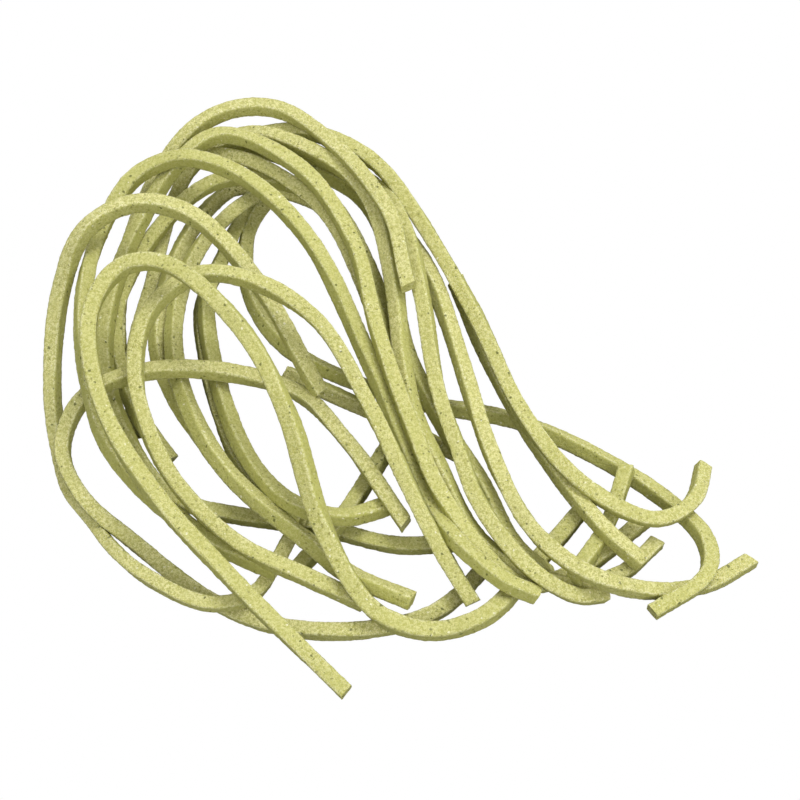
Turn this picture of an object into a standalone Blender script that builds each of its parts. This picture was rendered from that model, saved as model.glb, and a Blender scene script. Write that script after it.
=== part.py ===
"""Dry pasta nest: a loose bundle of square-cut strands that has dried in one tangled heap.

The heap is one closed solid out to its uneven outline. Every strand is laid along its own
route and the strands are parted where they cross. A filled core reaches up to the strands,
closing the chinks between them and leaving the wide gaps open, and tubes round the routes
grow together with it and stand out on it as ridges. Metres, +Z up. The heap lies flat on the
table, and its box is centred on X and Y.
"""
import math

import bmesh
import bpy
import numpy as np

MM = 0.001

# Driving dimensions
STRAND_WIDTH = 2.5 * MM              # side of a strand's square section
STRAND_REST = 0.52 * STRAND_WIDTH    # lowest that a strand's middle lies above the table
CROSSING_GAP = 1.08 * STRAND_WIDTH   # middle to middle where two strands cross
LAYING_STEP = 2.0 * MM               # spacing of the places worked out along a route
LAYING_ROUNDS = 140                  # how often the crossings are gone over
LEAN_DEG = 35.0                      # strands part along a line leaning this far from upright
CENTRING = (0.3, 1.3, 0.0)           # in millimetres, added to every bend to centre the box

RIDGE_RADIUS = 1.7 * MM              # of the tube round each route
CHINK_WIDTH = 12.5 * MM              # gaps narrower than this in plan are filled
CORE_DROP = 0.6 * MM                 # the core stops this far under the strands' middles
CORE_CELL = 1.0 * MM                 # cell of the core's height map
FIELD_HALF = 72 * MM                 # the height map covers this far each way
CORE_BASE = -2.0 * MM                # the core runs this far below the table, before the cut
GRAIN = 0.9 * MM                     # cell of the remesh
TUBE_SIDES = 8
TRIANGLES = 8800                     # of the finished solid

# Routes of the strands in millimetres: the bends that each one makes, to the nearest half
STRANDS = {
    "front_loop": [(-7, -58, 5), (-26, -40, 10), (-41, -24, 15), (-49, -10, 19), (-51, 4, 24),
                   (-46, 11, 27), (-38, 10, 29), (-25, -2, 27), (-17, -16, 22), (-11, -32, 12),
                   (-2.5, -44, 6), (6.5, -46.5, 4), (14.5, -44, 4), (25.5, -30.5, 1),
                   (34.5, -19, 1)],
    "second_loop": [(13.5, -42, 5), (9, -34.5, 7), (5, -27.5, 10), (-3, -11, 15), (-12.5, 4, 21),
                    (-23.5, 11, 23), (-33.5, 12.5, 23), (-42, 6, 20), (-43.5, -5, 16),
                    (-37.5, -20, 11), (-25, -33, 9), (-13, -38.5, 7), (-4, -41, 3)],
    "left_loop": [(-12.5, -2.5, 9), (-15.5, 2, 12), (-21.5, 12.5, 16), (-34, 25, 23), (-45, 28, 24),
                  (-54, 24, 21.5), (-59, 16, 13), (-60, 1, 5), (-58, -10.5, 1.5), (-55.5, -18, 1.5),
                  (-51.5, -24, 2), (-47, -30, 3), (-39.5, -37.5, 5), (-30, -42, 5), (-23, -40, 4),
                  (-19, -32.5, 3), (-14.5, -22, 3)],
    "low_loop": [(2.5, -28, 7), (-7.5, -12, 8), (-16, -2, 8), (-28, 1, 10), (-42, 0, 12),
                 (-53, -4, 10), (-57, -11, 5), (-53, -20, 4), (-41.5, -30.5, 2), (-27.5, -40.5, 1),
                 (-16, -44.5, 1), (-2.5, -45, 2), (8, -41, 1), (18, -30, 1)],
    "bright_loop": [(-19, -36.5, 6), (-32.5, -29.5, 7), (-47.5, -15, 10), (-53, 1, 14),
                    (-54, 20.5, 15.5), (-48, 38, 18), (-42.5, 41, 20), (-36.5, 40.5, 22),
                    (-25.5, 35, 22), (-14.5, 23.5, 19), (-4, 2, 13), (8, -27, 7), (15.5, -36, 7),
                    (19.5, -39, 6.5), (24, -40.5, 5.5)],
    "long_loop": [(21.5, -38, 4), (18, -36.5, 6), (9, -24, 8), (5, -15, 10), (-2, 4, 16),
                  (-7, 23.5, 19), (-16.5, 38, 22), (-32, 47, 21), (-40, 41.5, 18),
                  (-47.5, 29.5, 12), (-51, 12, 9), (-49, -2, 6), (-41, -16, 2), (-34.5, -20.5, 1),
                  (-27, -22.5, 1), (-12, -25, 1), (1, -28.5, 1), (12, -28, 1)],
    "bundle_a": [(35.5, -39, 3), (31, -40, 4), (22.5, -36, 7), (14.5, -24.5, 9), (11.5, -15, 10),
                 (8, -4, 12), (5.5, 12.5, 16), (2.5, 27, 18), (-3, 38.5, 17), (-12.5, 45, 16),
                 (-22, 52, 14), (-31, 53, 12)],
    "bundle_b": [(45, -28, 1), (38, -35, 2), (28.5, -37, 3), (15.5, -31.5, 6), (8, -17, 8),
                 (4, -8.5, 11), (2, 1, 13), (0, 18.5, 17), (-4.5, 34, 19), (-12.5, 42.5, 20),
                 (-26, 50, 18), (-35, 49, 14)],
    "bundle_c": [(44, -23, 1), (30, -35.5, 3), (22, -37, 3), (14, -30, 4), (6, -14, 7), (0, 3, 11),
                 (-6, 19.5, 16), (-11, 29.5, 18), (-16.5, 36.5, 18), (-27.5, 44, 18),
                 (-36, 46.5, 15), (-41, 41, 9), (-44, 27, 5), (-47, 6.5, 2), (-45, -6, 1)],
    "inner_a": [(-38.5, -11.5, 1), (-44, -3.5, 2), (-49, 7.5, 5), (-50, 14.5, 6), (-49, 20, 8),
                (-44.5, 31, 10), (-36.5, 40, 13), (-29.5, 42, 15), (-18.5, 39.5, 16),
                (-11, 35.5, 15), (-0.5, 12.5, 10), (1.5, 2, 8)],
    "inner_b": [(3.5, -41.5, 5), (-7, -37, 6), (-12.5, -32, 6), (-28, -18, 8), (-37, 0, 8),
                (-39, 15.5, 8), (-35, 31, 9), (-24.5, 42.5, 10), (-19, 42.5, 10), (-14, 40, 10)],
    "inner_c": [(-32.5, -9.5, 4), (-38, -1, 5), (-42, 10, 6), (-38.5, 33.5, 7), (-30.5, 45, 8),
                (-24.5, 46, 8)],
    "inner_d": [(-15, -25, 4), (-26, -14, 4), (-35, 20, 3), (-33, 31, 1)],
    "inner_e": [(-1, -24, 6), (-8, -26, 6), (-17.5, -22.5, 6), (-25.5, -13, 7), (-34, 21, 5),
                (-31.5, 32, 4), (-27, 45.5, 3), (-21, 49.5, 5)],
    "right_loop": [(43, -42.5, 3), (52.5, -36, 4), (53, -28.5, 3), (47, -20, 2), (37, -12, 2),
                   (22, -3, 1), (1.5, 2, 1), (-19, 13, 1), (-26, 25, 1), (-27.5, 38, 2),
                   (-24, 46, 3), (-16.5, 50, 6)],
    "hook": [(54, -14, 3), (51.5, -21.5, 4), (44.5, -26.5, 6), (34.5, -22, 7), (24, -9.5, 9),
             (13.5, 14, 14), (-1.5, 40, 19), (-8.5, 45.5, 20), (-17, 50, 19), (-25.5, 50.5, 17),
             (-30.5, 49.5, 15)],
    "short_tail": [(41.5, -33.5, 4), (35, -27.5, 6), (26.5, -13.5, 6), (18.5, 2, 8),
                   (11.5, 21, 11)],
    "bundle_d": [(26.5, -34.5, 1.5), (20.5, -29.5, 3), (15.5, -19, 5), (10, -10, 7), (2.5, 6, 10),
                 (-1.5, 30.5, 13), (-6, 38.5, 14), (-16, 46, 13.5), (-24.5, 51.5, 12),
                 (-30, 54, 11)],
    "right_tail": [(60.5, -31.5, 1), (53, -36, 1), (43.5, -38.5, 3), (33.5, -38, 7), (24.5, -31, 8),
                   (18, -18, 9), (6, 22, 14), (-3, 37, 13)],
    "top_loop": [(3, 13, 19), (-1, 29, 22), (-20, 53, 21), (-31, 54, 20), (-40, 48, 17),
                 (-48.5, 32.5, 8), (-50, 21.5, 4), (-49.5, 12, 2)],
    "stub": [(40.5, -15, 4), (36.5, -26.5, 4), (30, -37, 5)],
    "low_tail": [(0.5, -6.5, 1), (-9, -25.5, 3), (-15.5, -33, 1)],
    "back_tail": [(-19, 7.5, 1), (1.5, -4, 1), (12, -10.5, 1)],
}


def clear_file():
    for old in list(bpy.data.objects):
        bpy.data.objects.remove(old, do_unlink=True)


def smooth_route(bends):
    """A smooth line through the bends, as places spaced evenly by about LAYING_STEP."""
    knots = (np.array(bends, dtype=float) + CENTRING) * MM
    knots = np.vstack([2 * knots[0] - knots[1], knots, 2 * knots[-1] - knots[-2]])
    fine = []
    for p0, p1, p2, p3 in zip(knots, knots[1:], knots[2:], knots[3:]):
        t1 = math.sqrt(np.linalg.norm(p1 - p0))
        t2 = t1 + math.sqrt(np.linalg.norm(p2 - p1))
        t3 = t2 + math.sqrt(np.linalg.norm(p3 - p2))
        t = np.linspace(t1, t2, 24, endpoint=False)[:, None]
        a1 = (t1 - t) / t1 * p0 + t / t1 * p1
        a2 = (t2 - t) / (t2 - t1) * p1 + (t - t1) / (t2 - t1) * p2
        a3 = (t3 - t) / (t3 - t2) * p2 + (t - t2) / (t3 - t2) * p3
        b1 = (t2 - t) / t2 * a1 + t / t2 * a2
        b2 = (t3 - t) / (t3 - t1) * a2 + (t - t1) / (t3 - t1) * a3
        fine.append((t2 - t) / (t2 - t1) * b1 + (t - t1) / (t2 - t1) * b2)
    fine = np.vstack(fine + [knots[-2:-1]])
    along = np.concatenate([[0.0], np.cumsum(np.linalg.norm(np.diff(fine, axis=0), axis=1))])
    count = max(2, round(along[-1] / LAYING_STEP) + 1)
    wanted = np.linspace(0.0, along[-1], count)
    return np.stack([np.interp(wanted, along, fine[:, axis]) for axis in range(3)], axis=1)


def eased(values, width):
    """Values along one strand, each averaged with its neighbours over a bell-shaped window."""
    reach = 3 * width
    bell = np.exp(-0.5 * (np.arange(-reach, reach + 1) / width) ** 2)
    return np.convolve(np.pad(values, reach, mode="edge"), bell / bell.sum(), mode="valid")


def lay_strands(routes):
    """Part the strands along the leaning line wherever two come closer than CROSSING_GAP."""
    lean = math.radians(LEAN_DEG)
    lift = np.array([0.0, -math.sin(lean), math.cos(lean)])
    strand = np.concatenate([np.full(len(route), number) for number, route in enumerate(routes)])
    place = np.concatenate([np.arange(len(route)) for route in routes])
    cuts = np.cumsum([len(route) for route in routes])[:-1]
    points = np.vstack(routes)
    same = (strand[:, None] == strand[None]) & (np.abs(place[:, None] - place[None]) < 8)
    for _ in range(LAYING_ROUNDS):
        apart = ((points[:, None] - points[None]) ** 2).sum(axis=2)
        apart[same] = 1.0
        first, second = np.nonzero(np.triu(apart < CROSSING_GAP ** 2, 1))
        between = points[first] - points[second]
        along = between @ lift
        across = (between ** 2).sum(axis=1) - along ** 2
        needed = np.sqrt(np.maximum(CROSSING_GAP ** 2 - across, 0.0))
        push = np.where(along >= 0, 0.5, -0.5) * (needed - np.abs(along))
        up = np.zeros(len(points))
        down = np.zeros(len(points))
        np.maximum.at(up, first, push)
        np.minimum.at(down, first, push)
        np.maximum.at(up, second, -push)
        np.minimum.at(down, second, -push)
        move = up + down
        sunk = np.maximum(STRAND_REST - points[:, 2], 0.0) / lift[2]
        move = np.where(sunk > 0, np.maximum(move, sunk), move)
        soft = np.concatenate([eased(piece, 3) for piece in np.split(move, cuts)])
        points = points + soft[:, None] * lift
    sunk = np.maximum(STRAND_REST - points[:, 2], 0.0) / lift[2]
    return np.split(points + sunk[:, None] * lift, cuts)


def tube_mesh(routes, radius):
    """Round tubes along the routes as one mesh, each with rounded ends and a closed skin."""
    curve = bpy.data.curves.new("strand_tubes", "CURVE")
    curve.dimensions = "3D"
    curve.bevel_depth = radius
    curve.bevel_resolution = (TUBE_SIDES - 4) // 2
    curve.use_fill_caps = True
    for route in routes:
        spline = curve.splines.new("POLY")
        spline.points.add(len(route) - 1)
        for point, place in zip(spline.points, route):
            point.co = (*place, 1.0)
    holder = bpy.data.objects.new("strand_tubes", curve)
    bpy.context.scene.collection.objects.link(holder)
    bpy.context.view_layer.update()
    graph = bpy.context.evaluated_depsgraph_get()
    mesh = bpy.data.meshes.new_from_object(holder.evaluated_get(graph))
    bpy.data.objects.remove(holder, do_unlink=True)
    bpy.data.curves.remove(curve)
    bm = bmesh.new()
    bm.from_mesh(mesh)
    bmesh.ops.remove_doubles(bm, verts=bm.verts, dist=0.00001)
    bmesh.ops.recalc_face_normals(bm, faces=bm.faces)
    bm.to_mesh(mesh)
    bm.free()
    return mesh


def disc_steps(radius):
    """The steps in cells, across and along, that stay within the radius."""
    reach = int(radius / CORE_CELL)
    steps = range(-reach, reach + 1)
    limit = (radius / CORE_CELL) ** 2
    return [(i, j) for i in steps for j in steps if i * i + j * j <= limit]


def spread(field, radius, pick):
    """Each cell takes the highest (or lowest) value within the radius."""
    reach = int(radius / CORE_CELL)
    rows, columns = field.shape
    padded = np.pad(field, reach)
    result = field.copy()
    for i, j in disc_steps(radius):
        shifted = padded[reach + i:reach + i + rows, reach + j:reach + j + columns]
        result = pick(result, shifted)
    return result


def core_heights(routes):
    """How high the core stands in each cell: up to the strands, with narrow gaps filled."""
    cells = round(2 * FIELD_HALF / CORE_CELL) + 1
    field = np.zeros((cells, cells))
    for route in routes:
        halfway = (route[1:] + route[:-1]) / 2
        for x, y, z in np.vstack([route, halfway]):
            column = round((x + FIELD_HALF) / CORE_CELL)
            row = round((y + FIELD_HALF) / CORE_CELL)
            field[row, column] = max(field[row, column], z)
    field = spread(field, RIDGE_RADIUS, np.maximum)
    field = spread(field, CHINK_WIDTH / 2, np.maximum)
    return spread(field, CHINK_WIDTH / 2, np.minimum)


def core_mesh(routes):
    """A grid lifted to the core's heights, with the bare cells removed and the rest deepened."""
    heights = core_heights(routes)
    cells = len(heights)
    bm = bmesh.new()
    bmesh.ops.create_grid(bm, x_segments=cells - 1, y_segments=cells - 1, size=FIELD_HALF)
    for vert in bm.verts:
        column = round((vert.co.x + FIELD_HALF) / CORE_CELL)
        row = round((vert.co.y + FIELD_HALF) / CORE_CELL)
        vert.co.z = heights[row, column] - CORE_DROP
    bare = [face for face in bm.faces if min(vert.co.z for vert in face.verts) < 0]
    bmesh.ops.delete(bm, geom=bare, context="FACES")
    top = list(bm.faces)
    skirt = bmesh.ops.extrude_face_region(bm, geom=top)
    for item in skirt["geom"]:
        if isinstance(item, bmesh.types.BMVert):
            item.co.z = CORE_BASE
    bmesh.ops.recalc_face_normals(bm, faces=bm.faces)
    mesh = bpy.data.meshes.new("core")
    bm.to_mesh(mesh)
    bm.free()
    return mesh


def bake_modifiers(obj):
    """Turn the object's modifiers into plain mesh."""
    bpy.context.view_layer.update()
    graph = bpy.context.evaluated_depsgraph_get()
    baked = bpy.data.meshes.new_from_object(obj.evaluated_get(graph))
    old = obj.data
    obj.modifiers.clear()
    obj.data = baked
    bpy.data.meshes.remove(old)


def keep_largest_skin(mesh):
    """Drop the skins of hollows shut inside, and any loose crumb."""
    bm = bmesh.new()
    bm.from_mesh(mesh)
    left = set(bm.verts)
    skins = []
    while left:
        skin = set()
        front = [left.pop()]
        while front:
            vert = front.pop()
            skin.add(vert)
            for edge in vert.link_edges:
                other = edge.other_vert(vert)
                if other in left:
                    left.remove(other)
                    front.append(other)
        skins.append(skin)
    skins.sort(key=len, reverse=True)
    for skin in skins[1:]:
        bmesh.ops.delete(bm, geom=list(skin), context="VERTS")
    bm.to_mesh(mesh)
    bm.free()


def joined(first, second):
    """Two meshes as one."""
    bm = bmesh.new()
    bm.from_mesh(first)
    bm.from_mesh(second)
    bm.to_mesh(first)
    bm.free()
    bpy.data.meshes.remove(second)
    return first


def add_remesh(obj):
    remesh = obj.modifiers.new("grown_together", "REMESH")
    remesh.mode = "VOXEL"
    remesh.voxel_size = GRAIN
    remesh.adaptivity = 0.0


def pasta_material():
    material = bpy.data.materials.new("green_pasta")
    material.use_nodes = True
    shader = material.node_tree.nodes["Principled BSDF"]
    shader.inputs["Base Color"].default_value = (0.56, 0.53, 0.21, 1.0)
    shader.inputs["Roughness"].default_value = 0.75
    shader.inputs["Metallic"].default_value = 0.0
    material.diffuse_color = (0.56, 0.53, 0.21, 1.0)
    return material


def table_cutter(collection):
    """A block whose top is the table: what the tubes reach below it is cut off flat."""
    bpy.ops.mesh.primitive_cube_add(size=1.0)
    block = bpy.context.active_object
    block.name = "table_cutter"
    block.scale = (0.4, 0.4, 0.1)
    block.location = (0.0, 0.0, -0.05)
    bpy.context.view_layer.update()
    block.data.transform(block.matrix_world)
    block.matrix_world.identity()
    for home in list(block.users_collection):
        home.objects.unlink(block)
    collection.objects.link(block)
    block.hide_render = True
    block.display_type = "WIRE"
    return block


def build():
    clear_file()
    home = bpy.data.collections.new("dry_pasta_nest")
    cutters = bpy.data.collections.new("cutters")
    bpy.context.scene.collection.children.link(home)
    bpy.context.scene.collection.children.link(cutters)

    routes = lay_strands([smooth_route(bends) for bends in STRANDS.values()])
    heap = joined(tube_mesh(routes, RIDGE_RADIUS), core_mesh(routes))
    nest = bpy.data.objects.new("pasta_nest", heap)
    home.objects.link(nest)
    add_remesh(nest)
    bake_modifiers(nest)
    keep_largest_skin(nest.data)

    thin = nest.modifiers.new("fewer_faces", "DECIMATE")
    thin.ratio = min(1.0, TRIANGLES / (2 * len(nest.data.polygons)))
    thin.use_collapse_triangulate = True
    bake_modifiers(nest)
    cut = nest.modifiers.new("table_cut", "BOOLEAN")
    cut.operation = "DIFFERENCE"
    cut.solver = "EXACT"
    cut.object = table_cutter(cutters)
    bpy.context.view_layer.update()

    nest.data.materials.clear()
    nest.data.materials.append(pasta_material())
    length = sum(np.linalg.norm(np.diff(route, axis=0), axis=1).sum() for route in routes)
    print("strands", len(routes), "total length (m)", round(float(length), 3))


build()
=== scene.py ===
# %% [markdown]
# # A nest of dried green pasta
#
# Twenty-three long strands of pasta were cut square, dropped in a loose tangle and left to
# dry. They stand up in a low arch at one end and fan out flat at the other. A solid lump
# with stripes painted on it would never show daylight between the strands, so every strand
# is made here as a thing of its own, laid over and under its neighbours.

# %% Load the frame and keep its box
import math

import bpy
import numpy as np
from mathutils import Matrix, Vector


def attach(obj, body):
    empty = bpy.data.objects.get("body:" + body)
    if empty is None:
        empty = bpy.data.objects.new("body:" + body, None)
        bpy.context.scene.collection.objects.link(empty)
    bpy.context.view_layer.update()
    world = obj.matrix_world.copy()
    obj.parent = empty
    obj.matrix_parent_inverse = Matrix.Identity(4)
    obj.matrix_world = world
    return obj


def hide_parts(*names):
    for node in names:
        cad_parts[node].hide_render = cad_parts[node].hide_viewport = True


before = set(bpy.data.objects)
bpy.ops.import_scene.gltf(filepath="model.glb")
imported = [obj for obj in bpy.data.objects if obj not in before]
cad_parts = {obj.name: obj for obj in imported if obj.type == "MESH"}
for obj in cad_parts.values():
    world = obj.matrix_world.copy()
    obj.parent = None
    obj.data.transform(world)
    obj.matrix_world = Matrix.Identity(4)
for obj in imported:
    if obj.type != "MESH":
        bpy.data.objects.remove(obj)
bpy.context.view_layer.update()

# %% [markdown]
# ## The main sizes
#
# The dough is rolled out and cut as thick as it is wide, so one size, the side of the square
# section, sets everything else: how close two strands can cross, how low one can lie on the
# table, and how fine the ragged grain of the cut faces is.

# %% Main sizes
MM = 0.001
STRAND_WIDTH = 2.5 * MM              # side of a strand's square section
STRAND_REST = 0.52 * STRAND_WIDTH    # lowest that a strand's middle lies above the table
CROSSING_GAP = 1.08 * STRAND_WIDTH   # middle to middle where two strands cross
LAYING_STEP = 2.0 * MM               # spacing of the places worked out along a route
LAYING_ROUNDS = 140                  # how often the crossings are gone over
LEAN_DEG = 35.0                      # strands part along a line leaning this far from upright
CENTRING = (0.3, 1.3, 0.0)           # in millimetres, added to every bend to centre the box
print("strand section (mm):", STRAND_WIDTH / MM)

# %% [markdown]
# ## The camera
#
# The nest is seen from in front and well above, as something small lying on a table is. A
# long lens close by keeps the near strands only a little larger than the far ones.

# %% Camera
CAMERA_RISE_DEG = 55.0
CAMERA_DISTANCE = 326.8 * MM
CAMERA_LENS = 85.0
CAMERA_AIM = Vector((1.8 * MM, -3.45 * MM, 10.0 * MM))


def place_camera():
    rise = math.radians(CAMERA_RISE_DEG)
    back = Vector((0.0, -math.cos(rise), math.sin(rise)))
    camera_data = bpy.data.cameras.new("camera")
    camera_data.lens = CAMERA_LENS
    camera_data.clip_start = 0.01
    camera_data.clip_end = 20.0
    camera = bpy.data.objects.new("camera", camera_data)
    bpy.context.scene.collection.objects.link(camera)
    camera.location = CAMERA_AIM + back * CAMERA_DISTANCE
    camera.rotation_euler = (math.pi / 2 - rise, 0.0, 0.0)
    bpy.context.scene.camera = camera
    return camera


camera = place_camera()
print("camera at (mm):", [round(c / MM) for c in camera.location])

# %% [markdown]
# ## The routes
#
# A strand is described by its bends, as one would describe a piece of wire: where it starts,
# where it turns, how high it is there. The numbers are millimetres from the middle of the
# nest, to the nearest half. Only the bends are given, because a smooth curve fills in what
# lies between.

# %% Routes of the strands, in millimetres
STRANDS = {
    "front_loop": [(-7, -58, 5), (-26, -40, 10), (-41, -24, 15), (-49, -10, 19), (-51, 4, 24),
                   (-46, 11, 27), (-38, 10, 29), (-25, -2, 27), (-17, -16, 22), (-11, -32, 12),
                   (-2.5, -44, 6), (6.5, -46.5, 4), (14.5, -44, 4), (25.5, -30.5, 1),
                   (34.5, -19, 1)],
    "second_loop": [(13.5, -42, 5), (9, -34.5, 7), (5, -27.5, 10), (-3, -11, 15), (-12.5, 4, 21),
                    (-23.5, 11, 23), (-33.5, 12.5, 23), (-42, 6, 20), (-43.5, -5, 16),
                    (-37.5, -20, 11), (-25, -33, 9), (-13, -38.5, 7), (-4, -41, 3)],
    "left_loop": [(-12.5, -2.5, 9), (-15.5, 2, 12), (-21.5, 12.5, 16), (-34, 25, 23), (-45, 28, 24),
                  (-54, 24, 21.5), (-59, 16, 13), (-60, 1, 5), (-58, -10.5, 1.5), (-55.5, -18, 1.5),
                  (-51.5, -24, 2), (-47, -30, 3), (-39.5, -37.5, 5), (-30, -42, 5), (-23, -40, 4),
                  (-19, -32.5, 3), (-14.5, -22, 3)],
    "low_loop": [(2.5, -28, 7), (-7.5, -12, 8), (-16, -2, 8), (-28, 1, 10), (-42, 0, 12),
                 (-53, -4, 10), (-57, -11, 5), (-53, -20, 4), (-41.5, -30.5, 2), (-27.5, -40.5, 1),
                 (-16, -44.5, 1), (-2.5, -45, 2), (8, -41, 1), (18, -30, 1)],
    "bright_loop": [(-19, -36.5, 6), (-32.5, -29.5, 7), (-47.5, -15, 10), (-53, 1, 14),
                    (-54, 20.5, 15.5), (-48, 38, 18), (-42.5, 41, 20), (-36.5, 40.5, 22),
                    (-25.5, 35, 22), (-14.5, 23.5, 19), (-4, 2, 13), (8, -27, 7), (15.5, -36, 7),
                    (19.5, -39, 6.5), (24, -40.5, 5.5)],
    "long_loop": [(21.5, -38, 4), (18, -36.5, 6), (9, -24, 8), (5, -15, 10), (-2, 4, 16),
                  (-7, 23.5, 19), (-16.5, 38, 22), (-32, 47, 21), (-40, 41.5, 18),
                  (-47.5, 29.5, 12), (-51, 12, 9), (-49, -2, 6), (-41, -16, 2), (-34.5, -20.5, 1),
                  (-27, -22.5, 1), (-12, -25, 1), (1, -28.5, 1), (12, -28, 1)],
    "bundle_a": [(35.5, -39, 3), (31, -40, 4), (22.5, -36, 7), (14.5, -24.5, 9), (11.5, -15, 10),
                 (8, -4, 12), (5.5, 12.5, 16), (2.5, 27, 18), (-3, 38.5, 17), (-12.5, 45, 16),
                 (-22, 52, 14), (-31, 53, 12)],
    "bundle_b": [(45, -28, 1), (38, -35, 2), (28.5, -37, 3), (15.5, -31.5, 6), (8, -17, 8),
                 (4, -8.5, 11), (2, 1, 13), (0, 18.5, 17), (-4.5, 34, 19), (-12.5, 42.5, 20),
                 (-26, 50, 18), (-35, 49, 14)],
    "bundle_c": [(44, -23, 1), (30, -35.5, 3), (22, -37, 3), (14, -30, 4), (6, -14, 7), (0, 3, 11),
                 (-6, 19.5, 16), (-11, 29.5, 18), (-16.5, 36.5, 18), (-27.5, 44, 18),
                 (-36, 46.5, 15), (-41, 41, 9), (-44, 27, 5), (-47, 6.5, 2), (-45, -6, 1)],
    "inner_a": [(-38.5, -11.5, 1), (-44, -3.5, 2), (-49, 7.5, 5), (-50, 14.5, 6), (-49, 20, 8),
                (-44.5, 31, 10), (-36.5, 40, 13), (-29.5, 42, 15), (-18.5, 39.5, 16),
                (-11, 35.5, 15), (-0.5, 12.5, 10), (1.5, 2, 8)],
    "inner_b": [(3.5, -41.5, 5), (-7, -37, 6), (-12.5, -32, 6), (-28, -18, 8), (-37, 0, 8),
                (-39, 15.5, 8), (-35, 31, 9), (-24.5, 42.5, 10), (-19, 42.5, 10), (-14, 40, 10)],
    "inner_c": [(-32.5, -9.5, 4), (-38, -1, 5), (-42, 10, 6), (-38.5, 33.5, 7), (-30.5, 45, 8),
                (-24.5, 46, 8)],
    "inner_d": [(-15, -25, 4), (-26, -14, 4), (-35, 20, 3), (-33, 31, 1)],
    "inner_e": [(-1, -24, 6), (-8, -26, 6), (-17.5, -22.5, 6), (-25.5, -13, 7), (-34, 21, 5),
                (-31.5, 32, 4), (-27, 45.5, 3), (-21, 49.5, 5)],
    "right_loop": [(43, -42.5, 3), (52.5, -36, 4), (53, -28.5, 3), (47, -20, 2), (37, -12, 2),
                   (22, -3, 1), (1.5, 2, 1), (-19, 13, 1), (-26, 25, 1), (-27.5, 38, 2),
                   (-24, 46, 3), (-16.5, 50, 6)],
    "hook": [(54, -14, 3), (51.5, -21.5, 4), (44.5, -26.5, 6), (34.5, -22, 7), (24, -9.5, 9),
             (13.5, 14, 14), (-1.5, 40, 19), (-8.5, 45.5, 20), (-17, 50, 19), (-25.5, 50.5, 17),
             (-30.5, 49.5, 15)],
    "short_tail": [(41.5, -33.5, 4), (35, -27.5, 6), (26.5, -13.5, 6), (18.5, 2, 8),
                   (11.5, 21, 11)],
    "bundle_d": [(26.5, -34.5, 1.5), (20.5, -29.5, 3), (15.5, -19, 5), (10, -10, 7), (2.5, 6, 10),
                 (-1.5, 30.5, 13), (-6, 38.5, 14), (-16, 46, 13.5), (-24.5, 51.5, 12),
                 (-30, 54, 11)],
    "right_tail": [(60.5, -31.5, 1), (53, -36, 1), (43.5, -38.5, 3), (33.5, -38, 7), (24.5, -31, 8),
                   (18, -18, 9), (6, 22, 14), (-3, 37, 13)],
    "top_loop": [(3, 13, 19), (-1, 29, 22), (-20, 53, 21), (-31, 54, 20), (-40, 48, 17),
                 (-48.5, 32.5, 8), (-50, 21.5, 4), (-49.5, 12, 2)],
    "stub": [(40.5, -15, 4), (36.5, -26.5, 4), (30, -37, 5)],
    "low_tail": [(0.5, -6.5, 1), (-9, -25.5, 3), (-15.5, -33, 1)],
    "back_tail": [(-19, 7.5, 1), (1.5, -4, 1), (12, -10.5, 1)],
}
print(len(STRANDS), "strands,", sum(len(bends) for bends in STRANDS.values()), "bends")

# %% [markdown]
# ## From bends to smooth lines
#
# A Catmull-Rom curve passes through every bend and never overshoots when its knots are
# spaced by the root of the distance. It is sampled evenly, so that each strand becomes a row
# of places two millimetres apart.


# %% Smooth lines
SAMPLES_PER_BEND = 24                # fine samples between two bends, before even spacing


def smooth_route(bends):
    """A smooth line through the bends, as places spaced evenly by about LAYING_STEP."""
    knots = (np.array(bends, dtype=float) + CENTRING) * MM
    knots = np.vstack([2 * knots[0] - knots[1], knots, 2 * knots[-1] - knots[-2]])
    fine = []
    for p0, p1, p2, p3 in zip(knots, knots[1:], knots[2:], knots[3:]):
        t1 = math.sqrt(np.linalg.norm(p1 - p0))
        t2 = t1 + math.sqrt(np.linalg.norm(p2 - p1))
        t3 = t2 + math.sqrt(np.linalg.norm(p3 - p2))
        t = np.linspace(t1, t2, SAMPLES_PER_BEND, endpoint=False)[:, None]
        a1 = (t1 - t) / t1 * p0 + t / t1 * p1
        a2 = (t2 - t) / (t2 - t1) * p1 + (t - t1) / (t2 - t1) * p2
        a3 = (t3 - t) / (t3 - t2) * p2 + (t - t2) / (t3 - t2) * p3
        b1 = (t2 - t) / t2 * a1 + t / t2 * a2
        b2 = (t3 - t) / (t3 - t1) * a2 + (t - t1) / (t3 - t1) * a3
        fine.append((t2 - t) / (t2 - t1) * b1 + (t - t1) / (t2 - t1) * b2)
    fine = np.vstack(fine + [knots[-2:-1]])
    along = np.concatenate([[0.0], np.cumsum(np.linalg.norm(np.diff(fine, axis=0), axis=1))])
    count = max(2, round(along[-1] / LAYING_STEP) + 1)
    wanted = np.linspace(0.0, along[-1], count)
    return np.stack([np.interp(wanted, along, fine[:, axis]) for axis in range(3)], axis=1)


routes = [smooth_route(bends) for bends in STRANDS.values()]
print("places along the strands:", sum(len(route) for route in routes))

# %% [markdown]
# ## Laying the strands over one another
#
# Where two smooth lines pass too close, the strands would run through each other. Cloth or
# rope simulation could settle them, but it would also carry them away from their routes.
# Here the two are simply pushed apart along one leaning line, the upper one up and the lower
# one down, again and again, and each push is shared with the places beside it, so that the
# strand bends softly. What sinks under the table is lifted back.


# %% Part the strands where they cross
EASE_WIDTH = 3                       # places over which a push is shared, as a bell's width
OWN_REACH = 8                        # nearer places on the same strand don't push each other


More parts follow.
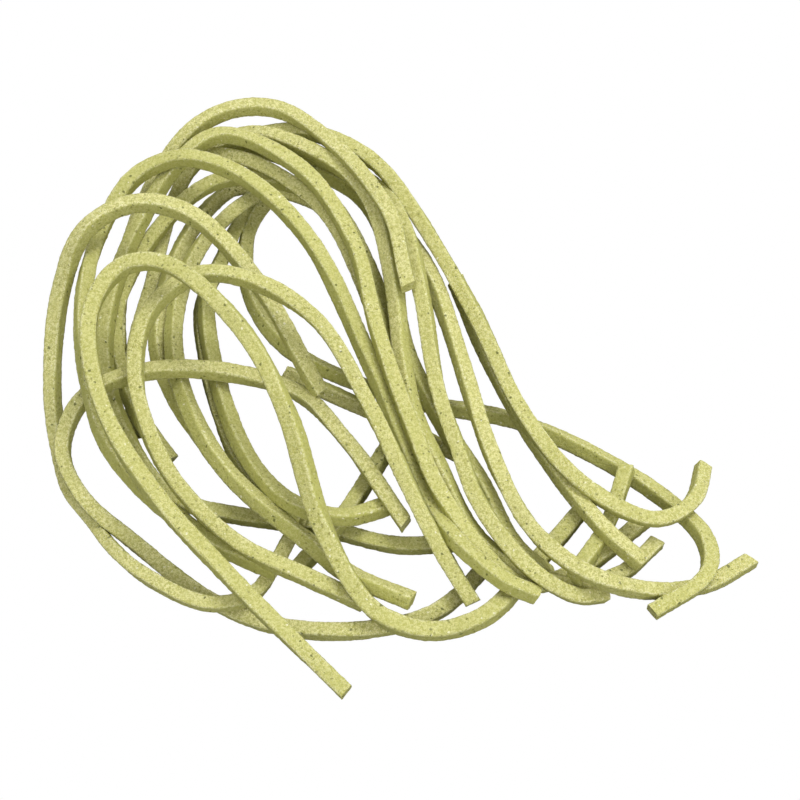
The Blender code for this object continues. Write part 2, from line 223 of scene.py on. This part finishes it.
def eased(values, width):
    """Values along one strand, each averaged with its neighbours over a bell-shaped window."""
    reach = 3 * width
    bell = np.exp(-0.5 * (np.arange(-reach, reach + 1) / width) ** 2)
    return np.convolve(np.pad(values, reach, mode="edge"), bell / bell.sum(), mode="valid")


def lay_strands(routes):
    """Part the strands along the leaning line wherever two come closer than CROSSING_GAP."""
    lean = math.radians(LEAN_DEG)
    lift = np.array([0.0, -math.sin(lean), math.cos(lean)])
    strand = np.concatenate([np.full(len(route), number) for number, route in enumerate(routes)])
    place = np.concatenate([np.arange(len(route)) for route in routes])
    cuts = np.cumsum([len(route) for route in routes])[:-1]
    points = np.vstack(routes)
    same = (strand[:, None] == strand[None]) & (np.abs(place[:, None] - place[None]) < OWN_REACH)
    for _ in range(LAYING_ROUNDS):
        apart = ((points[:, None] - points[None]) ** 2).sum(axis=2)
        apart[same] = 1.0
        first, second = np.nonzero(np.triu(apart < CROSSING_GAP ** 2, 1))
        between = points[first] - points[second]
        along = between @ lift
        across = (between ** 2).sum(axis=1) - along ** 2
        needed = np.sqrt(np.maximum(CROSSING_GAP ** 2 - across, 0.0))
        push = np.where(along >= 0, 0.5, -0.5) * (needed - np.abs(along))
        up = np.zeros(len(points))
        down = np.zeros(len(points))
        np.maximum.at(up, first, push)
        np.minimum.at(down, first, push)
        np.maximum.at(up, second, -push)
        np.minimum.at(down, second, -push)
        move = up + down
        sunk = np.maximum(STRAND_REST - points[:, 2], 0.0) / lift[2]
        move = np.where(sunk > 0, np.maximum(move, sunk), move)
        soft = np.concatenate([eased(piece, EASE_WIDTH) for piece in np.split(move, cuts)])
        points = points + soft[:, None] * lift
    sunk = np.maximum(STRAND_REST - points[:, 2], 0.0) / lift[2]
    return np.split(points + sunk[:, None] * lift, cuts)


routes = lay_strands(routes)
lengths = [np.linalg.norm(np.diff(route, axis=0), axis=1).sum() for route in routes]
print("total strand length (m):", round(float(sum(lengths)), 3))

# %% [markdown]
# ## How each strand is turned
#
# A square strand shows a broad, light upper face and a darker side face. Which side shows
# depends on how the strand rolled as it fell, so each has a roll of its own, and the roll
# drifts slowly along the length. The turn is measured from level, where one face looks
# straight up.

# %% Roll and thickness along each strand
ROLL_DRIFT_DEG = 8.0
THICKNESS_DRIFT = 0.04
DRIFT_WAVES = (55 * MM, 31 * MM, 17 * MM)
DRIFT_SUM = 2.2                      # brings the added waves back to about -1 to 1
# degrees of roll at even stations along each strand
ROLLS = {
    "front_loop": (-10, -5, 0, 5, 25, 35, 20, 0, 0),
    "second_loop": (-20, -20, -15, 5, 0, 10, 0),
    "left_loop": (10, 0, 0, 10, 20, 30, 20, 0, 35),
    "low_loop": (-15, -10, 0, 0, 10, 20, 10, 10, 10),
    "bright_loop": (0, 20, 30, 15, 0, -10, -25, -25, -10),
    "long_loop": (-5, 0, 5, 0, 10, 20, 20, 0, 0),
    "bundle_a": (-20, -20, -20, -15, 0),
    "bundle_b": (0, -40, -50, -40, -15, 0),
    "bundle_c": (0, -20, -35, -35, -20, 0),
    "bundle_d": (25, 25, 30, 30),
    "top_loop": (-15, -10, 0, 0, 0),
    "hook": (-20, -15, -15, -25, -25, -10, 0),
    "right_tail": (0, -10, -25, 20, 20, 10),
    "right_loop": (10, 20, 40, 40, 35, 20),
    "inner_a": (40, 20, 10, 0, -20),
    "inner_b": (30, 40, 45, 40, 30),
    "inner_c": (40, 45, 45, 40),
    "inner_e": (10, 30, 30, 20),
    "back_tail": (40, 40),
}
DEFAULT_ROLL = (8, 12)
# how thick the strand is at even stations, against STRAND_WIDTH
THICKNESS = {
    "front_loop": (1.05, 1.1, 1.1, 1.15, 1.1),
    "left_loop": (1.05, 1.1, 1.1, 1.05, 0.8, 0.95, 1.0),
    "bright_loop": (1.06, 1.06, 1.06, 1.06, 0.98),
    "inner_b": (1.06, 1.06),
}
DEFAULT_THICKNESS = (1.03, 1.03)


def drifting(length, number, seed):
    """A slow wave along a strand, between about -1 and 1."""
    spot = np.random.default_rng(1000 * seed + number)
    s = np.linspace(0.0, length, max(2, round(length / LAYING_STEP) + 1))
    wave = np.zeros_like(s)
    for wave_length in DRIFT_WAVES:
        wave += np.sin(2 * math.pi * s / wave_length + spot.uniform(0, 2 * math.pi))
    return wave / DRIFT_SUM


def at_stations(values, count):
    """Values given at even stations along a strand, spread over its places."""
    return np.interp(np.linspace(0, len(values) - 1, count), range(len(values)), values)


def rolls_and_scales():
    """The roll and the relative thickness at every place of every strand."""
    rolls, scales = [], []
    for number, (name, route) in enumerate(zip(STRANDS, routes)):
        length = (len(route) - 1) * LAYING_STEP
        steady = at_stations(ROLLS.get(name, DEFAULT_ROLL), len(route))
        wave = drifting(length, number, 1)[:len(route)]
        rolls.append(np.radians(steady + ROLL_DRIFT_DEG * wave))
        thickness = at_stations(THICKNESS.get(name, DEFAULT_THICKNESS), len(route))
        scales.append(thickness + THICKNESS_DRIFT * drifting(length, number, 2)[:len(route)])
    return rolls, scales


rolls, scales = rolls_and_scales()
print("rolls run from", round(math.degrees(min(r.min() for r in rolls))), "to",
      round(math.degrees(max(r.max() for r in rolls))), "degrees")

# %% [markdown]
# ## Curves to sweep along
#
# The strands are gathered in a few groups by where they lie in the nest, one curve object
# for each group. A smooth spline holds the places of one strand, and the spline's own tilt
# and radius carry the roll and the thickness.

# %% Curves of the strand groups
GROUPS = {
    "outer_loops": ["front_loop", "second_loop", "left_loop", "low_loop", "bright_loop"],
    "bundle": ["long_loop", "bundle_a", "bundle_b", "bundle_c", "bundle_d", "top_loop"],
    "inner_strands": ["inner_a", "inner_b", "inner_c", "inner_d", "inner_e"],
    "right_tails": ["right_loop", "hook", "short_tail", "right_tail", "stub"],
    "low_strands": ["low_tail", "back_tail"],
}


def group_curve(group):
    curve = bpy.data.curves.new(group, "CURVE")
    curve.dimensions = "3D"
    names = list(STRANDS)
    for name in GROUPS[group]:
        number = names.index(name)
        spline = curve.splines.new("NURBS")
        spline.points.add(len(routes[number]) - 1)
        spline.order_u = 4
        spline.use_endpoint_u = True
        spline.resolution_u = 8
        for point, place, roll, scale in zip(spline.points, routes[number], rolls[number],
                                             scales[number]):
            point.co = (*place, 1.0)
            point.tilt = roll
            point.radius = scale
    strands = bpy.data.objects.new(group, curve)
    bpy.context.scene.collection.objects.link(strands)
    return strands


curve_objects = {group: group_curve(group) for group in GROUPS}
print("groups:", {group: len(names) for group, names in GROUPS.items()})

# %% [markdown]
# ## The surface of dried dough
#
# Under a lens the cut faces are not flat. The dough was torn a little by the cutter and
# shrank as it dried, so the faces are grainy, the edges are nibbled, and here and there a
# crumb has come away. The colour is mottled in the same grain: pale flour on the high spots,
# deeper yellow-green between, with flecks of dark leaf and bran and a few pale crumbs of
# flour. Two shader groups hold these, one for the mottling and one for flecks of any colour.


# %% Helpers for shader trees
def link(tree, source, target):
    tree.links.new(source, target)


def math_node(tree, operation, first, second=None, clamp=False):
    node = tree.nodes.new("ShaderNodeMath")
    node.operation = operation
    node.use_clamp = clamp
    for socket, value in zip(node.inputs, (first, second)):
        if value is None:
            continue
        if isinstance(value, (int, float)):
            socket.default_value = value
        else:
            link(tree, value, socket)
    return node.outputs[0]


def noise_node(tree, vector, scale, detail=3.0, roughness=0.5):
    node = tree.nodes.new("ShaderNodeTexNoise")
    if isinstance(scale, (int, float)):
        node.inputs["Scale"].default_value = scale
    else:
        link(tree, scale, node.inputs["Scale"])
    node.inputs["Detail"].default_value = detail
    node.inputs["Roughness"].default_value = roughness
    link(tree, vector, node.inputs["Vector"])
    return node


def range_node(tree, value, low, high, to_low=0.0, to_high=1.0):
    node = tree.nodes.new("ShaderNodeMapRange")
    node.inputs["From Min"].default_value = low
    node.inputs["From Max"].default_value = high
    node.inputs["To Min"].default_value = to_low
    node.inputs["To Max"].default_value = to_high
    link(tree, value, node.inputs["Value"])
    return node.outputs["Result"]


def mix_colour(tree, amount, first, second):
    node = tree.nodes.new("ShaderNodeMix")
    node.data_type = "RGBA"
    for socket, value in ((node.inputs[0], amount), (node.inputs[6], first), (node.inputs[7], second)):
        if isinstance(value, tuple):
            socket.default_value = value
        else:
            link(tree, value, socket)
    return node.outputs[2]


def new_group(name, inputs, outputs):
    tree = bpy.data.node_groups.new(name, "ShaderNodeTree")
    for label, kind, value in inputs:
        socket = tree.interface.new_socket(label, in_out="INPUT", socket_type=kind)
        if value is not None:
            socket.default_value = value
    for label, kind in outputs:
        tree.interface.new_socket(label, in_out="OUTPUT", socket_type=kind)
    return tree, tree.nodes.new("NodeGroupInput"), tree.nodes.new("NodeGroupOutput")


print("shader helpers ready")

# %% [markdown]
# The mottling is three sizes of noise added together: broad patches where the leaf was
# mixed in unevenly, grains about half a millimetre across, and a fine floury tooth.


# %% Mottled dough group
GRAIN_RANGE = (0.435, 0.565)         # the noise between these spans deep to pale dough
PATCH_RANGE = (0.3, 0.7)


def mottled_dough_group():
    tree, inside, outside = new_group(
        "mottled_dough",
        [("Vector", "NodeSocketVector", None),
         ("Patch Scale", "NodeSocketFloat", 260.0),
         ("Grain Scale", "NodeSocketFloat", 1900.0),
         ("Tooth Scale", "NodeSocketFloat", 4800.0)],
        [("Patches", "NodeSocketFloat"), ("Grain", "NodeSocketFloat"), ("Height", "NodeSocketFloat")])
    vector = inside.outputs["Vector"]
    patches = noise_node(tree, vector, inside.outputs["Patch Scale"], 2.0, 0.5).outputs["Fac"]
    grain = noise_node(tree, vector, inside.outputs["Grain Scale"], 3.0, 0.6).outputs["Fac"]
    tooth = noise_node(tree, vector, inside.outputs["Tooth Scale"], 2.0, 0.6).outputs["Fac"]
    both = math_node(tree, "ADD", math_node(tree, "MULTIPLY", grain, 0.5),
                     math_node(tree, "MULTIPLY", tooth, 0.5))
    link(tree, range_node(tree, patches, *PATCH_RANGE), outside.inputs["Patches"])
    link(tree, range_node(tree, both, *GRAIN_RANGE), outside.inputs["Grain"])
    link(tree, both, outside.inputs["Height"])
    return tree


dough_group = mottled_dough_group()
print("group:", dough_group.name)

# %% [markdown]
# Flecks are scattered with a Voronoi texture. Each cell has a random colour, and only the
# few cells whose random value passes the share show a fleck, near the cell's middle. Bending
# the coordinates with noise first makes the flecks ragged instead of round.


# %% Fleck group
FLECK_BEND_SCALE = 1800.0
FLECK_BEND = 0.7 * MM                # how far the noise pulls the coordinates about
FLECK_CRISPNESS = 9.0


def fleck_group():
    tree, inside, outside = new_group(
        "flecks",
        [("Vector", "NodeSocketVector", None),
         ("Scale", "NodeSocketFloat", 700.0),
         ("Share", "NodeSocketFloat", 0.1),
         ("Size", "NodeSocketFloat", 0.3)],
        [("Mask", "NodeSocketFloat")])
    vector = inside.outputs["Vector"]
    bend = noise_node(tree, vector, FLECK_BEND_SCALE, 2.0, 0.6)
    shift = tree.nodes.new("ShaderNodeVectorMath")
    shift.operation = "MULTIPLY_ADD"
    link(tree, bend.outputs["Color"], shift.inputs[0])
    shift.inputs[1].default_value = (FLECK_BEND, FLECK_BEND, FLECK_BEND)
    link(tree, vector, shift.inputs[2])
    cells = tree.nodes.new("ShaderNodeTexVoronoi")
    link(tree, shift.outputs[0], cells.inputs["Vector"])
    link(tree, inside.outputs["Scale"], cells.inputs["Scale"])
    parts = tree.nodes.new("ShaderNodeSeparateColor")
    link(tree, cells.outputs["Color"], parts.inputs["Color"])
    chosen = math_node(tree, "LESS_THAN", parts.outputs["Red"], inside.outputs["Share"])
    size = math_node(tree, "MULTIPLY", inside.outputs["Size"],
                     range_node(tree, parts.outputs["Green"], 0.0, 1.0, 0.5, 1.2))
    inner = math_node(tree, "SUBTRACT", size, cells.outputs["Distance"])
    soft = math_node(tree, "MULTIPLY", inner, FLECK_CRISPNESS, clamp=True)
    link(tree, math_node(tree, "MULTIPLY", soft, chosen), outside.inputs["Mask"])
    return tree


flecks = fleck_group()
print("group:", flecks.name)

# %% [markdown]
# The pasta's own material mixes these. Side faces lean to a darker, greener colour: partly the real colour
# of cut dough, partly painted shade where the sides turn away from the light. Some strands as a whole lean
# to the greener colour too, at random. The rims are painted paler: partly flour that clings there, partly
# a painted highlight along the edges. The Principled shader stays rough and dull, because dried dough has
# no gloss, and a little light goes under the surface.

# %% Green pasta material
DOUGH_LIGHT = (0.690, 0.663, 0.325, 1.0)
DOUGH_DEEP = (0.395, 0.385, 0.112, 1.0)
DOUGH_PATCH = (0.500, 0.490, 0.170, 1.0)
# darker, greener colour of the side faces: partly cut dough, partly painted shade on the sides
DOUGH_CUT_AND_SHADE = (0.390, 0.395, 0.085, 1.0)
LEAF_FLECK = (0.095, 0.105, 0.024, 1.0)
BRAN_FLECK = (0.200, 0.190, 0.050, 1.0)
# pale flour colour, used for flour flecks and for the rims' painted highlight
FLOUR_AND_HIGHLIGHT = (0.860, 0.840, 0.640, 1.0)
PATCH_SHARE = 0.4                    # how much of each colour comes over the mottled dough
CUT_AND_SHADE_SHARE = 0.45
TONE_SHARE = 0.35
RIM_FLOUR_AND_HIGHLIGHT_SHARE = 0.8
ROUGHNESS = (0.72, 0.9)
GRAIN_HEIGHT = 0.24 * MM
# colour, scale, share of cells with a fleck, size in a cell and strength
FLECKS = (
    (BRAN_FLECK, 1700.0, 0.22, 0.36, 0.6),
    (LEAF_FLECK, 1000.0, 0.20, 0.27, 0.8),
    (LEAF_FLECK, 430.0, 0.14, 0.16, 0.75),
    (FLOUR_AND_HIGHLIGHT, 1500.0, 0.08, 0.30, 0.6),
)


def attribute(tree, name):
    node = tree.nodes.new("ShaderNodeAttribute")
    node.attribute_name = name
    return node.outputs["Fac"]


def pasta_material():
    material = bpy.data.materials.new("green_pasta_dried")
    material.use_nodes = True
    tree = material.node_tree
    shader = tree.nodes["Principled BSDF"]
    shader.inputs["Specular IOR Level"].default_value = 0.25
    shader.inputs["Subsurface Weight"].default_value = 0.12
    shader.inputs["Subsurface Radius"].default_value = (1.0, 0.8, 0.25)
    shader.inputs["Subsurface Scale"].default_value = 0.8 * MM
    place = tree.nodes.new("ShaderNodeTexCoord").outputs["Object"]

    dough = tree.nodes.new("ShaderNodeGroup")
    dough.node_tree = dough_group
    link(tree, place, dough.inputs["Vector"])
    colour = mix_colour(tree, dough.outputs["Grain"], DOUGH_DEEP, DOUGH_LIGHT)
    patch = math_node(tree, "MULTIPLY", dough.outputs["Patches"], PATCH_SHARE)
    colour = mix_colour(tree, patch, colour, DOUGH_PATCH)
    # side faces painted darker and greener: partly the cut faces' own tint, partly painted shade
    cut = math_node(tree, "MULTIPLY", attribute(tree, "cut_side_shade"), CUT_AND_SHADE_SHARE)
    colour = mix_colour(tree, cut, colour, DOUGH_CUT_AND_SHADE)
    tone = range_node(tree, attribute(tree, "strand_tone"), 0.0, 1.0, 0.0, TONE_SHARE)
    colour = mix_colour(tree, tone, colour, DOUGH_CUT_AND_SHADE)
    # the rims are painted paler: partly flour on the edges, partly a painted highlight along them
    rim = math_node(tree, "MULTIPLY", attribute(tree, "edge"), dough.outputs["Grain"])
    colour = mix_colour(tree, math_node(tree, "MULTIPLY", rim, RIM_FLOUR_AND_HIGHLIGHT_SHARE), colour, FLOUR_AND_HIGHLIGHT)

    for fleck_colour, scale, share, size, strength in FLECKS:
        spots = tree.nodes.new("ShaderNodeGroup")
        spots.node_tree = flecks
        link(tree, place, spots.inputs["Vector"])
        spots.inputs["Scale"].default_value = scale
        spots.inputs["Share"].default_value = share
        spots.inputs["Size"].default_value = size
        amount = math_node(tree, "MULTIPLY", spots.outputs["Mask"], strength)
        colour = mix_colour(tree, amount, colour, fleck_colour)
    link(tree, colour, shader.inputs["Base Color"])
    roughness = range_node(tree, dough.outputs["Grain"], 0.0, 1.0, *ROUGHNESS)
    link(tree, roughness, shader.inputs["Roughness"])
    bump = tree.nodes.new("ShaderNodeBump")
    bump.inputs["Strength"].default_value = 1.0
    bump.inputs["Distance"].default_value = GRAIN_HEIGHT
    link(tree, dough.outputs["Height"], bump.inputs["Height"])
    link(tree, bump.outputs["Normal"], shader.inputs["Normal"])
    return material


pasta = pasta_material()
print("material:", pasta.name, "with", len(pasta.node_tree.nodes), "nodes")

# %% [markdown]
# ## Sweeping the strands
#
# A Geometry Nodes tree takes the curves of a group and makes the strands: it samples them
# finely, stands the section upright on the path, sweeps a rounded square along, leans the
# section near the two ends as a slanting cut does, and then roughens the skin with noise of
# two sizes, so that the grain and the nibbled edges are real shape. Values stored on the way,
# such as where the edges and the side faces are, are what the material reads. Its sizes are
# named inputs, and the same tree serves every group.

# %% Strand tree
SWEEP_STEP = 0.32 * MM
SECTION_POINTS = 28
CORNER_RADIUS = 0.3 * MM
GRAIN_DEPTH = 0.24 * MM
NIBBLE_DEPTH = 0.2 * MM
CUT_REACH = 3.0 * MM                 # the end of a strand leans within this length
CUT_SLANT = 0.45                     # steepest lean of a cut end, as a slope
CORNER_STEPS = 4                     # points round each corner of the section
EDGE_RANGE = (0.80, 0.97)            # how near the corner a rim begins and is full
SIDE_RANGE = (-0.15, 0.15)           # where an upper face turns into a side face
NIBBLE_SCALE = 600.0
GRAIN_SCALE = 1500.0
CAP_AREA = MM * MM                   # only a cut end's own face is larger, and it stays flat


def new_node(tree, kind, **values):
    node = tree.nodes.new(kind)
    for name, value in values.items():
        setattr(node, name, value)
    return node


def stored(tree, geometry, name, value, kind="FLOAT"):
    """Store a value on every point under a name that the material or a later node can read."""
    store = new_node(tree, "GeometryNodeStoreNamedAttribute", data_type=kind, domain="POINT")
    store.inputs["Name"].default_value = name
    link(tree, geometry, store.inputs["Geometry"])
    link(tree, value, store.inputs["Value"])
    return store.outputs["Geometry"]


def read_back(tree, name, kind="FLOAT"):
    node = new_node(tree, "GeometryNodeInputNamedAttribute", data_type=kind)
    node.inputs["Name"].default_value = name
    return node.outputs["Attribute"]


def strand_random(tree, low, high, seed):
    """One random value for each strand."""
    of_point = tree.nodes.new("GeometryNodeCurveOfPoint")
    chance = new_node(tree, "FunctionNodeRandomValue", data_type="FLOAT")
    chance.inputs[2].default_value = low
    chance.inputs[3].default_value = high
    chance.inputs["Seed"].default_value = seed
    link(tree, of_point.outputs["Curve Index"], chance.inputs["ID"])
    return chance.outputs[1]


def cut_lean(tree):
    """The slope that the section leans by: none along the strand, growing at its two ends."""
    run = tree.nodes.new("GeometryNodeSplineParameter").outputs["Length"]
    whole = tree.nodes.new("GeometryNodeSplineLength").outputs["Length"]
    left = math_node(tree, "SUBTRACT", whole, run)
    leans = []
    for seed, distance in ((11, run), (12, left)):
        near = math_node(tree, "SUBTRACT", 1.0, math_node(tree, "DIVIDE", distance, CUT_REACH), clamp=True)
        leans.append(math_node(tree, "MULTIPLY", near, strand_random(tree, -CUT_SLANT, CUT_SLANT, seed)))
    return math_node(tree, "ADD", *leans)


def path_with_values(tree, geometry, step):
    sample = new_node(tree, "GeometryNodeResampleCurve", mode="LENGTH")
    link(tree, geometry, sample.inputs["Curve"])
    link(tree, step, sample.inputs["Length"])
    upright = new_node(tree, "GeometryNodeSetCurveNormal", mode="Z_UP")
    link(tree, sample.outputs["Curve"], upright.inputs["Curve"])
    path = stored(tree, upright.outputs["Curve"], "strand_tone", strand_random(tree, 0.0, 1.0, 7))
    path = stored(tree, path, "cut_lean", cut_lean(tree))
    tangent = tree.nodes.new("GeometryNodeInputTangent").outputs[0]
    return stored(tree, path, "run", tangent, "FLOAT_VECTOR")


def section_with_values(tree, width, corner):
    square = new_node(tree, "GeometryNodeCurvePrimitiveQuadrilateral", mode="RECTANGLE")
    link(tree, width, square.inputs["Width"])
    link(tree, width, square.inputs["Height"])
    fillet = new_node(tree, "GeometryNodeFilletCurve", mode="POLY")
    fillet.inputs["Count"].default_value = CORNER_STEPS
    link(tree, square.outputs["Curve"], fillet.inputs["Curve"])
    link(tree, corner, fillet.inputs["Radius"])
    section = new_node(tree, "GeometryNodeResampleCurve", mode="COUNT")
    section.inputs["Count"].default_value = SECTION_POINTS
    link(tree, fillet.outputs["Curve"], section.inputs["Curve"])
    parts = tree.nodes.new("ShaderNodeSeparateXYZ")
    link(tree, tree.nodes.new("GeometryNodeInputPosition").outputs[0], parts.inputs[0])
    across = math_node(tree, "ABSOLUTE", parts.outputs["X"])
    upward = math_node(tree, "ABSOLUTE", parts.outputs["Y"])
    half = math_node(tree, "MULTIPLY", width, 0.5)
    nearer = math_node(tree, "DIVIDE", math_node(tree, "MINIMUM", across, upward), half)
    beside = math_node(tree, "DIVIDE", math_node(tree, "SUBTRACT", across, upward), half)
    outline = stored(tree, section.outputs["Curve"], "edge", range_node(tree, nearer, *EDGE_RANGE))
    # marks the side faces, which the material paints darker as shade as well as greener as cut dough
    outline = stored(tree, outline, "cut_side_shade", range_node(tree, beside, *SIDE_RANGE))
    return stored(tree, outline, "sideways", parts.outputs["X"])


def moved_along(tree, mesh, direction, amount):
    offset = new_node(tree, "ShaderNodeVectorMath", operation="SCALE")
    link(tree, direction, offset.inputs[0])
    link(tree, amount, offset.inputs["Scale"])
    shift = new_node(tree, "GeometryNodeSetPosition")
    link(tree, mesh, shift.inputs["Geometry"])
    link(tree, offset.outputs[0], shift.inputs["Offset"])
    return shift.outputs["Geometry"]


def strand_tree():
    tree = bpy.data.node_groups.new("pasta_strands", "GeometryNodeTree")
    face = tree.interface
    face.new_socket("Geometry", in_out="INPUT", socket_type="NodeSocketGeometry")
    for label, value in (("Width", STRAND_WIDTH), ("Step", SWEEP_STEP), ("Corner", CORNER_RADIUS),
                         ("Grain Depth", GRAIN_DEPTH), ("Nibble Depth", NIBBLE_DEPTH)):
        socket = face.new_socket(label, in_out="INPUT", socket_type="NodeSocketFloat")
        socket.default_value = value
    face.new_socket("Material", in_out="INPUT", socket_type="NodeSocketMaterial")
    face.new_socket("Geometry", in_out="OUTPUT", socket_type="NodeSocketGeometry")
    inside = tree.nodes.new("NodeGroupInput").outputs
    outside = tree.nodes.new("NodeGroupOutput")

    sweep = new_node(tree, "GeometryNodeCurveToMesh")
    sweep.inputs["Fill Caps"].default_value = True
    link(tree, path_with_values(tree, inside["Geometry"], inside["Step"]), sweep.inputs["Curve"])
    link(tree, section_with_values(tree, inside["Width"], inside["Corner"]), sweep.inputs["Profile Curve"])
    link(tree, tree.nodes.new("GeometryNodeInputRadius").outputs[0], sweep.inputs["Scale"])

    lean = math_node(tree, "MULTIPLY", read_back(tree, "sideways"), read_back(tree, "cut_lean"))
    mesh = moved_along(tree, sweep.outputs["Mesh"], read_back(tree, "run", "FLOAT_VECTOR"), lean)
    position = tree.nodes.new("GeometryNodeInputPosition").outputs[0]
    normal = tree.nodes.new("GeometryNodeInputNormal").outputs[0]
    for label, scale in (("Nibble Depth", NIBBLE_SCALE), ("Grain Depth", GRAIN_SCALE)):
        noise = noise_node(tree, position, scale, 2.0).outputs["Fac"]
        depth = math_node(tree, "MULTIPLY", math_node(tree, "SUBTRACT", noise, 0.5), inside[label])
        mesh = moved_along(tree, mesh, normal, depth)

    area = tree.nodes.new("GeometryNodeInputMeshFaceArea").outputs[0]
    smooth = new_node(tree, "GeometryNodeSetShadeSmooth", domain="FACE")
    link(tree, mesh, smooth.inputs["Geometry"])
    link(tree, math_node(tree, "LESS_THAN", area, CAP_AREA), smooth.inputs["Selection"])
    real = tree.nodes.new("GeometryNodeRealizeInstances")
    link(tree, smooth.outputs["Geometry"], real.inputs["Geometry"])
    coat = tree.nodes.new("GeometryNodeSetMaterial")
    link(tree, real.outputs["Geometry"], coat.inputs["Geometry"])
    link(tree, inside["Material"], coat.inputs["Material"])
    link(tree, coat.outputs["Geometry"], outside.inputs["Geometry"])
    return tree


strands_tree = strand_tree()
print("tree:", strands_tree.name, "with", len(strands_tree.nodes), "nodes")

# %% [markdown]
# The tree is put on each group's curves as a modifier, evaluated once, and the result kept
# as a plain mesh, which is what a printer or another program can use.


# %% Make the strands
def set_input(modifier, label, value):
    for item in modifier.node_group.interface.items_tree:
        if item.item_type == "SOCKET" and item.in_out == "INPUT" and item.name == label:
            modifier[item.identifier] = value


def swept_piece(group):
    strands = curve_objects[group]
    modifier = strands.modifiers.new("strands", "NODES")
    modifier.node_group = strands_tree
    set_input(modifier, "Material", pasta)
    bpy.context.view_layer.update()
    graph = bpy.context.evaluated_depsgraph_get()
    mesh = bpy.data.meshes.new_from_object(strands.evaluated_get(graph))
    bpy.data.objects.remove(strands, do_unlink=True)
    piece = bpy.data.objects.new("pasta_" + group, mesh)
    bpy.context.scene.collection.objects.link(piece)
    return piece


pieces = []
for group in GROUPS:
    piece = swept_piece(group)
    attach(piece, "root")
    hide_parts("pasta_nest")
    pieces.append(piece)
    piece.data.calc_loop_triangles()
    print(piece.name, "triangles:", len(piece.data.loop_triangles))

# %% [markdown]
# ## Table and light
#
# The table is plain white. It shines white towards the camera but throws little light back,
# so that the gaps low in the nest stay dark.

# %% Table
TABLE_HALF = 1.5
TABLE_BOUNCE = 0.1


def white_table():
    bpy.ops.mesh.primitive_plane_add(size=2 * TABLE_HALF)
    table = bpy.context.active_object
    table.name = "table"
    material = bpy.data.materials.new("white_table")
    material.use_nodes = True
    tree = material.node_tree
    shader = tree.nodes["Principled BSDF"]
    shader.inputs["Base Color"].default_value = (TABLE_BOUNCE, TABLE_BOUNCE, TABLE_BOUNCE, 1.0)
    shader.inputs["Roughness"].default_value = 0.9
    glow = tree.nodes.new("ShaderNodeEmission")
    glow.inputs["Color"].default_value = (1.0, 1.0, 1.0, 1.0)
    path = tree.nodes.new("ShaderNodeLightPath")
    chosen = tree.nodes.new("ShaderNodeMixShader")
    link(tree, path.outputs["Is Camera Ray"], chosen.inputs[0])
    link(tree, shader.outputs[0], chosen.inputs[1])
    link(tree, glow.outputs[0], chosen.inputs[2])
    link(tree, chosen.outputs[0], tree.nodes["Material Output"].inputs["Surface"])
    table.data.materials.append(material)
    return table


table = white_table()
print("table half width (m):", TABLE_HALF)

# %% [markdown]
# Two broad soft lights and pale walls, as in a small studio tent: a large light above and a
# little behind, so that the upper faces are bright and the sides fall off, and a weaker one
# in front that keeps the near side faces open.


# %% Light
WALL_BRIGHTNESS = 0.8


def soft_light(name, place, aim, size, power):
    data = bpy.data.lights.new(name, "AREA")
    data.shape = "DISK"
    data.size = size
    data.energy = power
    light = bpy.data.objects.new(name, data)
    bpy.context.scene.collection.objects.link(light)
    light.location = place
    light.rotation_euler = (Vector(aim) - Vector(place)).to_track_quat("-Z", "Y").to_euler()
    return light


def studio():
    soft_light("key", (0.18, 0.2, 0.78), (0.0, 0.0, 0.0), 0.35, 3.7)
    soft_light("fill", (0.3, -0.7, 0.5), (0.0, 0.0, 0.0), 0.5, 2.3)
    world = bpy.data.worlds.new("studio_walls")
    world.use_nodes = True
    background = world.node_tree.nodes["Background"]
    background.inputs["Color"].default_value = (1.0, 1.0, 1.0, 1.0)
    background.inputs["Strength"].default_value = WALL_BRIGHTNESS
    bpy.context.scene.world = world
    bpy.context.scene.view_settings.view_transform = "Standard"


studio()
print("lights:", [light.name for light in bpy.data.lights])
